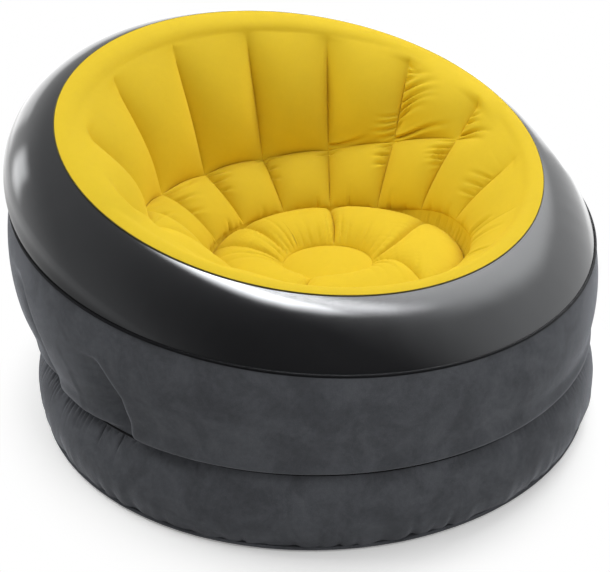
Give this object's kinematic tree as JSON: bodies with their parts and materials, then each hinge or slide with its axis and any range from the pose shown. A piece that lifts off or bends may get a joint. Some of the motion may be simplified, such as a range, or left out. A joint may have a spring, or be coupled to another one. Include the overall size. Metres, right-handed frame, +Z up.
{
  "type": "inflatable chair",
  "caption": "Low round inflatable tub chair with a fluted flocked seat bowl, a glossy shoulder band, flocked outer walls, internal film webs and a plug valve at the back.",
  "frame": {"origin": "on the floor under the middle of the base ring", "axes": "+Z up, the front faces -Y, +X to the right seen from the front looking along +Y"},
  "size_m": [1.133, 1.1328, 0.6576],
  "materials": {
    "yellow_flock": "matte flocked vinyl film",
    "gloss_vinyl": "high-gloss charcoal vinyl film",
    "slate_flock": "matte flocked vinyl film with a mottled nap",
    "black_weld": "satin welded seam",
    "beam_film": "plain grey vinyl film",
    "valve_plastic": "satin soft vinyl moulding"
  },
  "bodies": {
    "chair": {"seat_disc": "yellow_flock", "seat_well_wall": "yellow_flock", "seat_bolster_ring": "yellow_flock", "seat_back_panel": "yellow_flock", "glossy_band": "gloss_vinyl", "side_wall": "slate_flock", "base_ring": "slate_flock", "floor_sheet": "slate_flock", "rim_seam": "black_weld", "shoulder_seam": "black_weld", "waist_seam": "black_weld", "foot_seam": "black_weld", "waist_web": "beam_film", "well_ring_beam": "beam_film", "centre_ring_beam": "beam_film", "base_ring_beam": "beam_film", "spoke_web_01": "beam_film", "spoke_web_02": "beam_film", "spoke_web_03": "beam_film", "spoke_web_04": "beam_film", "spoke_web_05": "beam_film", "spoke_web_06": "beam_film", "spoke_web_07": "beam_film", "spoke_web_08": "beam_film", "spoke_web_09": "beam_film", "spoke_web_10": "beam_film", "spoke_web_11": "beam_film", "spoke_web_12": "beam_film", "spoke_web_13": "beam_film", "spoke_web_14": "beam_film", "spoke_web_15": "beam_film", "valve_flange": "valve_plastic"},
    "plug": {"valve_plug": "valve_plastic"},
    "cap": {"valve_cap": "valve_plastic"},
    "flap": {"valve_flap": "valve_plastic"}
  },
  "joints": [
    {"name": "plug_hinge", "type": "hinge", "parent": "chair", "child": "plug", "pos_m": [0, 0.56714, 0.1981], "axis": [-1, 0, 0], "range_deg": [0, 100]},
    {"name": "cap_hinge", "type": "hinge", "parent": "plug", "child": "cap", "pos_m": [0, 0.56874, 0.2087], "axis": [-1, 0, 0], "range_deg": [0, 100]},
    {"name": "flap_hinge", "type": "hinge", "parent": "plug", "child": "flap", "pos_m": [0, 0.55864, 0.2299], "axis": [-1, 0, 0], "range_deg": [0, 60], "stiffness_Nm_per_rad": 0.0002}
  ]
}
